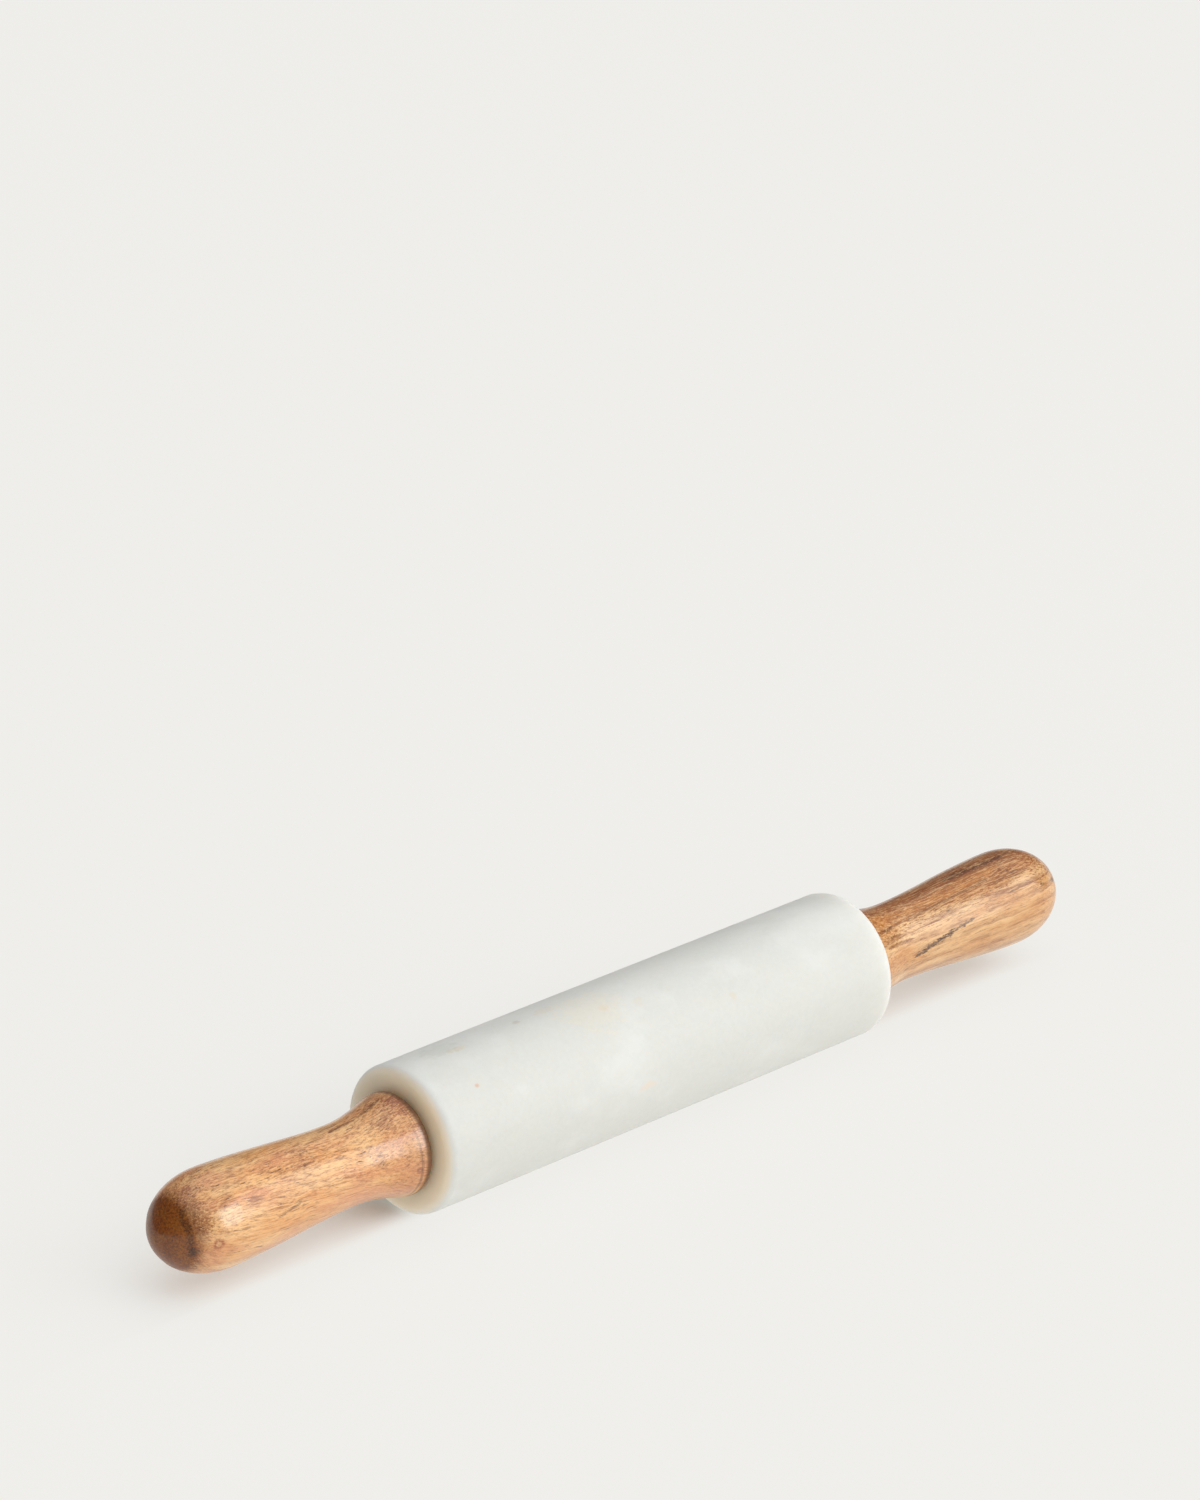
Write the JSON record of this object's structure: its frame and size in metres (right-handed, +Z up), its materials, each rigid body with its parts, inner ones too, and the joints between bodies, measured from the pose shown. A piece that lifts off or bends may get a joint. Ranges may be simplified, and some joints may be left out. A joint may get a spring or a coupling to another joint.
{
  "type": "rolling pin",
  "caption": "Straight cylindrical stone barrel with rounded rims that spins on a steel rod between turned wooden handles with flared feet and round ends.",
  "frame": {"origin": "on the surface that the barrel lies on, under the middle of the barrel", "axes": "+X along the pin's axis, +Z up"},
  "size_m": [0.4586, 0.057, 0.057],
  "materials": {
    "marble": "honed and waxed white marble with faint grey mottling and a few beige stains",
    "wood": "turned and oiled golden brown hardwood, satin",
    "steel": "drawn bright steel",
    "nylon": "natural white nylon",
    "brass": "turned brass"
  },
  "bodies": {
    "axle": {"axle_rod": "steel", "left_washer": "steel", "right_washer": "steel", "left_insert": "brass", "right_insert": "brass", "left_handle": "wood", "right_handle": "wood"},
    "barrel": {"marble_barrel": "marble", "left_bush": "nylon", "right_bush": "nylon"}
  },
  "joints": [
    {"name": "barrel_spin", "type": "hinge", "parent": "axle", "child": "barrel", "pos_m": [0, 0, 0.0285], "axis": [1, 0, 0], "continuous": true}
  ]
}
